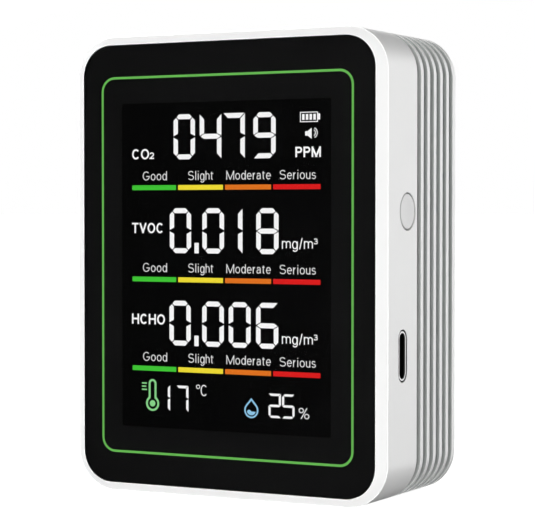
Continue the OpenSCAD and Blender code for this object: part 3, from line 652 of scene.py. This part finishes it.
# Each letter has a width, a bottom and a top, in cap heights, and the strokes of a pen.
# The points of a stroke run from 0 to 1 across the letter and up it.
LETTERS = {
    "C": (0.93, 0, 1, [curve(0.5, 0.5, 0.5, 0.5, 42, 318)]),
    "G": (0.97, 0, 1, [curve(0.5, 0.5, 0.5, 0.5, 42, 348), [(1, 0.44), (0.58, 0.44)]]),
    "H": (0.9, 0, 1, [[(0, 0), (0, 1)], [(1, 0), (1, 1)], [(0, 0.52), (1, 0.52)]]),
    "M": (1.08, 0, 1, [[(0, 0), (0, 1)], [(0, 1), (0.5, 0)], [(0.5, 0), (1, 1)], [(1, 1), (1, 0)]]),
    "O": (1.0, 0, 1, RING_STROKES),
    "P": (0.8, 0, 1, [[(0, 0), (0, 1)], [(0, 1), *curve(0.6, 0.74, 0.4, 0.26, 90, -90), (0, 0.48)]]),
    "S": (0.84, 0, 1, S_STROKES),
    "T": (0.84, 0, 1, [[(0, 1), (1, 1)], [(0.5, 1), (0.5, 0)]]),
    "V": (0.9, 0, 1, [[(0, 1), (0.5, 0)], [(0.5, 0), (1, 1)]]),
    "a": (0.62, 0, 0.73, [[*curve(0.46, 0.7, 0.42, 0.3, 160, 0), (0.88, 0)],
                          [(0.88, 0.58), *curve(0.36, 0.29, 0.36, 0.29, 90, 270), (0.88, 0.2)]]),
    "d": (0.62, 0, 1, [[(1, 0), (1, 1)], curve(0.48, 0.36, 0.48, 0.36, 0, 360)]),
    "e": (0.64, 0, 0.73, [[(0, 0.52), (1, 0.52)], curve(0.5, 0.5, 0.5, 0.5, 2, 318)]),
    "g": (0.62, -0.28, 0.73, [[(1, 1), (1, 0.26), *curve(0.5, 0.26, 0.5, 0.26, 0, -150)],
                              curve(0.48, 0.63, 0.48, 0.37, 0, 360)]),
    "h": (0.56, 0, 1, [[(0, 0), (0, 1)], [*curve(0.5, 0.46, 0.5, 0.26, 180, 0), (1, 0)]]),
    "i": (0.2, 0, 1, [[(0.5, 0), (0.5, 0.7)], [(0.5, 0.99), (0.5, 1)]]),
    "l": (0.2, 0, 1, [[(0.5, 0), (0.5, 1)]]),
    "m": (0.98, 0, 0.73, [[(0, 0), (0, 1)], [*curve(0.25, 0.66, 0.25, 0.34, 180, 0), (0.5, 0)],
                          [*curve(0.75, 0.66, 0.25, 0.34, 180, 0), (1, 0)]]),
    "o": (0.66, 0, 0.73, RING_STROKES),
    "r": (0.36, 0, 0.73, [[(0, 0), (0, 1)], curve(1, 0.3, 1, 0.7, 180, 90)]),
    "s": (0.56, 0, 0.73, S_STROKES),
    "t": (0.36, 0, 0.93, [[(0.32, 1), (0.32, 0.2), *curve(0.9, 0.2, 0.58, 0.2, 180, 270)],
                          [(0, 0.78), (1, 0.78)]]),
    "u": (0.56, 0, 0.73, [[(0, 1), *curve(0.5, 0.34, 0.5, 0.34, 180, 360)], [(1, 1), (1, 0)]]),
    "2": (0.72, 0, 1, [[*curve(0.5, 0.7, 0.47, 0.3, 168, -32), (0.04, 0)], [(0, 0), (1, 0)]]),
    "3": (0.72, 0, 1, [curve(0.46, 0.75, 0.44, 0.25, 155, -90) + curve(0.46, 0.26, 0.52, 0.26, 90, -158)]),
    "/": (0.36, -0.04, 1, [[(0, 0), (1, 1)]]),
    "%": (1.1, 0, 1, [curve(0.22, 0.78, 0.22, 0.22, 0, 360), curve(0.78, 0.22, 0.22, 0.22, 0, 360),
                      [(0.22, 0), (0.78, 1)]]),
    "\u00b0": (0.42, 0.6, 1, RING_STROKES),
}


def pen_marks(points, pen):
    """The areas that a pen covers along a stroke, one for each step, joined on the slant."""
    points = [Vector(p) for i, p in enumerate(points) if i == 0 or math.dist(p, points[i - 1]) > TINY]
    if len(points) == 2:
        # A straight stroke runs on past its ends; the letter's box trims it
        step = points[1] - points[0]
        reach = step.normalized() * pen * (0.5 if min(abs(step.x), abs(step.y)) < TINY else 1)
        points = [points[0] - reach, points[1] + reach]
    across = [Vector((a.y - b.y, b.x - a.x)).normalized() for a, b in zip(points, points[1:])]
    closed = (points[0] - points[-1]).length < TINY
    sides = []
    for i, here in enumerate(points):
        before = across[i - 1] if i > 0 or closed else across[0]
        after = across[i % len(across)] if i < len(across) or closed else across[-1]
        slant = (before + after).normalized()
        reach = slant * (pen / 2 / slant.dot(after))
        sides.append((here + reach, here - reach))
    return [[a[1], b[1], b[0], a[0]] for a, b in zip(sides, sides[1:])]


def trim(area, axis, limit, sign):
    """Cuts off the part of a flat area that lies beyond a limit along an axis."""
    kept = []
    for here, after in zip(area, area[1:] + area[:1]):
        room, room_after = (limit - here[axis]) * sign, (limit - after[axis]) * sign
        if room >= 0:
            kept.append(here)
        if room * room_after < 0:
            kept.append(here.lerp(after, room / (room - room_after)))
    return kept


def letter_areas(letter, left, width, base, cap, pen):
    """The areas of one letter, in millimetres from the middle of the display."""
    _, bottom, top, strokes = LETTERS[letter]
    foot, height = base + bottom * cap, (top - bottom) * cap
    limits = ((0, left, -1), (0, left + width, 1), (1, foot, -1), (1, foot + height, 1))
    areas = []
    for stroke in strokes:
        points = [(left + pen / 2 + u * (width - pen), foot + pen / 2 + v * (height - pen))
                  for u, v in stroke]
        for area in pen_marks(points, pen):
            for axis, limit, sign in limits:
                area = trim(area, axis, limit, sign)
            if len(area) > 2:
                areas.append(area)
    return areas


def line_areas(text, left, right, base, cap, pen):
    """The areas of a line of letters, stretched to run from left to right exactly."""
    gap = 0.16  # between letters, in cap heights
    natural = sum(LETTERS[letter][0] for letter in text) + gap * (len(text) - 1)
    stretch = (right - left) / natural
    areas = []
    for letter in text:
        width = LETTERS[letter][0] * stretch
        areas += letter_areas(letter, left, width, base, cap, pen)
        left += width + gap * stretch
    return areas


def build_label(name, lines, material):
    """Lines of letters as one thin piece in the segment layer."""
    corners, outlines = [], []
    for line in lines:
        for area in line_areas(*line):
            outlines.append(list(range(len(corners), len(corners) + len(area))))
            corners += area
    points, _, triangles, _, _, owners = delaunay_2d_cdt(corners, [], outlines, 0, 1e-4)
    mesh = bmesh.new()
    front = [mesh.verts.new((DISPLAY_X + p.x * MM, SEGMENT_LOW.y, MID_Z + p.y * MM)) for p in points]
    for triangle, owner in zip(triangles, owners):
        if owner:
            mesh.faces.new([front[i] for i in triangle])
    bmesh.ops.dissolve_limit(mesh, angle_limit=math.radians(1), verts=mesh.verts, edges=mesh.edges)
    bmesh.ops.delete(mesh, geom=[v for v in mesh.verts if not v.link_faces], context="VERTS")
    raised = bmesh.ops.extrude_face_region(mesh, geom=mesh.faces[:], use_keep_orig=True)["geom"]
    bmesh.ops.translate(mesh, vec=(0, SEGMENT_HIGH.y - SEGMENT_LOW.y, 0),
                        verts=[v for v in raised if isinstance(v, bmesh.types.BMVert)])
    finish_piece(make_object(name, mesh), "case", material)


def build_labels():
    """Gas names, units and level words. A line is text, left, right, base line, cap height and pen width."""
    white, grey = DIGIT_GLOW, WORD_GLOW
    build_label("co2_label", [("CO", -19.95, -16.2, 19.85, 1.95, 0.32),
                              ("2", -16.1, -15.1, 19.9, 1.25, 0.22)], white)
    build_label("ppm_label", [("PPM", 14.85, 20.0, 19.83, 1.9, 0.33)], white)
    build_label("tvoc_label", [("TVOC", -20.0, -13.05, 5.93, 1.95, 0.32)], white)
    build_label("hcho_label", [("HCHO", -20.05, -12.75, -11.27, 1.95, 0.33)], white)
    for name, base in (("tvoc_unit", 3.25), ("hcho_unit", -14.1)):
        build_label(name, [("mg/m", 12.1, 18.4, base, 1.95, 0.19),
                           ("3", 18.55, 19.4, base + 0.85, 1.05, 0.15)], white)
    build_label("celsius_unit", [("\u00b0", -6.0, -5.15, -24.3, 2.05, 0.13),
                                 ("C", -5.0, -3.6, -24.35, 2.1, 0.17)], white)
    build_label("percent_unit", [("%", 15.55, 17.7, -27.6, 2.0, 0.15)], white)
    words = (("Good", -17.6, -12.3), ("Slight", -7.7, -2.3), ("Moderate", 0.5, 9.8), ("Serious", 11.6, 19.0))
    for gas, base in (("co2", 15.86), ("tvoc", -1.38), ("hcho", -18.22)):
        build_label(gas + "_level_words", [(*word, base, 1.7, 0.16) for word in words], grey)


# ---------------------------------------------------------------- Button

def build_button():
    """A turned cap with a flange behind the wall, a rounded edge and a slightly dished face."""
    face, seat = button_high.x, button_low.x
    flange_r = (button_high.z - button_low.z) / 2
    flange_x = BODY_HALF_W - FRONT_WALL - 0.05 * MM
    flat_r = BUTTON_R - BUTTON_EDGE
    profile = [(seat, 0.01 * MM), (seat, flange_r), (flange_x, flange_r), (flange_x, BUTTON_R)]
    for k in range(7):
        angle = math.radians(15 * k)
        profile.append((face - BUTTON_EDGE * (1 - math.sin(angle)), flat_r + BUTTON_EDGE * math.cos(angle)))
    for share in (0.7, 0.4, 0.15, 0.004):
        profile.append((face - BUTTON_DISH * (1 - share ** 2), flat_r * share))
    mesh = bmesh.new()
    loft(mesh, [side_circle(x, r, BUTTON_CENTRE) for x, r in profile])
    button = make_object("button_cap", mesh)
    finish_piece(button, "button", BUTTON_PLASTIC, ["power_button"])


# ---------------------------------------------------------------- CAD nodes that stay

def dress_nodes():
    """Gives each CAD node that stays its material, and softens the edges of the hard ones."""
    glowing = {"digit_segments", "level_bars", "status_icons", "climate_icons", "lens_print", "ring_print"}
    for name, material in NODE_MATERIALS.items():
        piece = NODES[name]
        piece.data.materials.clear()
        piece.data.materials.append(material)
        if name in glowing:
            continue
        weld = piece.modifiers.new("weld", "WELD")
        weld.merge_threshold = 0.001 * MM
        bevel = piece.modifiers.new("edges", "BEVEL")
        bevel.width = 0.06 * MM
        bevel.segments = 2
        bevel.limit_method = "ANGLE"
        bevel.angle_limit = math.radians(40)


# ---------------------------------------------------------------- Stage

FLOOR_GLOW = 0.93


def build_floor():
    """A wide pale floor, seen only by the camera, so that it doesn't tint the object."""
    mesh = bmesh.new()
    reach, steps = 30.0, 48
    angles = [2 * math.pi * k / steps for k in range(steps)]
    loft(mesh, [[(reach * math.cos(a), reach * math.sin(a), z) for a in angles] for z in (-0.01, 0.0)])
    floor = make_object("floor", mesh)
    paint = Paint("floor_white")
    diffuse = paint.add("ShaderNodeBsdfDiffuse")
    diffuse.inputs["Color"].default_value = (0.5, 0.5, 0.5, 1)
    base = paint.add("ShaderNodeEmission")
    base.inputs["Strength"].default_value = FLOOR_GLOW
    both = paint.add("ShaderNodeAddShader")
    paint.link(diffuse.outputs[0], both.inputs[0])
    paint.link(base.outputs[0], both.inputs[1])
    paint.link(both.outputs[0], paint.tree.nodes["Material Output"].inputs["Surface"])
    floor.data.materials.append(paint.material)
    floor.visible_diffuse = False
    floor.visible_glossy = False
    floor.visible_transmission = False
    floor.visible_shadow = False


# Each soft light: direction it comes from, inner and outer half-angle in degrees, strength.
# The one in front (y < 0) is hidden from mirror rays, so that the lens doesn't mirror it.
SOFT_LIGHTS = [
    ((0.82, 0.5, 0.2), 5, 30, 2.8),
    ((0.49, 0.87, 0.08), 5, 28, 3.6),
    ((-0.07, -1.0, 0.0), 5, 35, 7.9),
    ((-0.6, 0.65, 0.47), 5, 28, 4.8),
    ((0.3, 0.3, -0.9), 10, 60, 0.1),
]
AMBIENT = 0.02


def build_world():
    """White for the camera, and soft lights round the horizon for everything else."""
    world = bpy.data.worlds.new("studio")
    bpy.context.scene.world = world
    world.use_nodes = True
    tree = world.node_tree
    tree.nodes.clear()

    def math_node(operation, first, second):
        node = tree.nodes.new("ShaderNodeMath")
        node.operation = operation
        for key, value in enumerate((first, second)):
            if isinstance(value, (int, float)):
                node.inputs[key].default_value = value
            else:
                tree.links.new(value, node.inputs[key])
        return node.outputs[0]

    direction = tree.nodes.new("ShaderNodeTexCoord").outputs["Generated"]

    def lobe(axis, inner, outer):
        """1 within the inner angle of the axis, falling smoothly to 0 at the outer one."""
        dot = tree.nodes.new("ShaderNodeVectorMath")
        dot.operation = "DOT_PRODUCT"
        tree.links.new(direction, dot.inputs[0])
        dot.inputs[1].default_value = Vector(axis).normalized()
        fade = tree.nodes.new("ShaderNodeMapRange")
        fade.interpolation_type = "SMOOTHSTEP"
        fade.inputs["From Min"].default_value = math.cos(math.radians(outer))
        fade.inputs["From Max"].default_value = math.cos(math.radians(inner))
        tree.links.new(dot.outputs["Value"], fade.inputs["Value"])
        return fade.outputs["Result"]

    path = tree.nodes.new("ShaderNodeLightPath").outputs
    matt = math_node("SUBTRACT", 1.0, path["Is Glossy Ray"])
    total = AMBIENT
    for axis, inner, outer, strength in SOFT_LIGHTS:
        light = math_node("MULTIPLY", lobe(axis, inner, outer), strength)
        if axis[1] < 0:
            light = math_node("MULTIPLY", light, matt)
        total = math_node("ADD", total, light)
    total = math_node("MAXIMUM", total, path["Is Camera Ray"])
    background = tree.nodes.new("ShaderNodeBackground")
    background.inputs["Color"].default_value = (1, 1, 1, 1)
    output = tree.nodes.new("ShaderNodeOutputWorld")
    tree.links.new(total, background.inputs["Strength"])
    tree.links.new(background.outputs[0], output.inputs["Surface"])


def build_camera():
    """The camera stands to the right of the monitor, a little above its middle."""
    offset = Vector((179.6, -317.7, 10.0)) * MM
    yaw, pitch = math.radians(28.22), math.radians(1.544)
    data = bpy.data.cameras.new("camera")
    data.sensor_width = 36
    data.lens = 133.36
    data.clip_start = 0.01
    data.clip_end = 100
    camera = bpy.data.objects.new("camera", data)
    camera.location = Vector((0, FACE_Y, MID_Z)) + offset
    camera.rotation_euler = (math.radians(90) - pitch, 0, yaw)
    bpy.context.scene.collection.objects.link(camera)
    bpy.context.scene.camera = camera


build_front_case()
build_rear_case()
build_lens()
build_button()
build_labels()
dress_nodes()
build_floor()
build_world()
build_camera()
bpy.context.scene.view_settings.view_transform = "Standard"
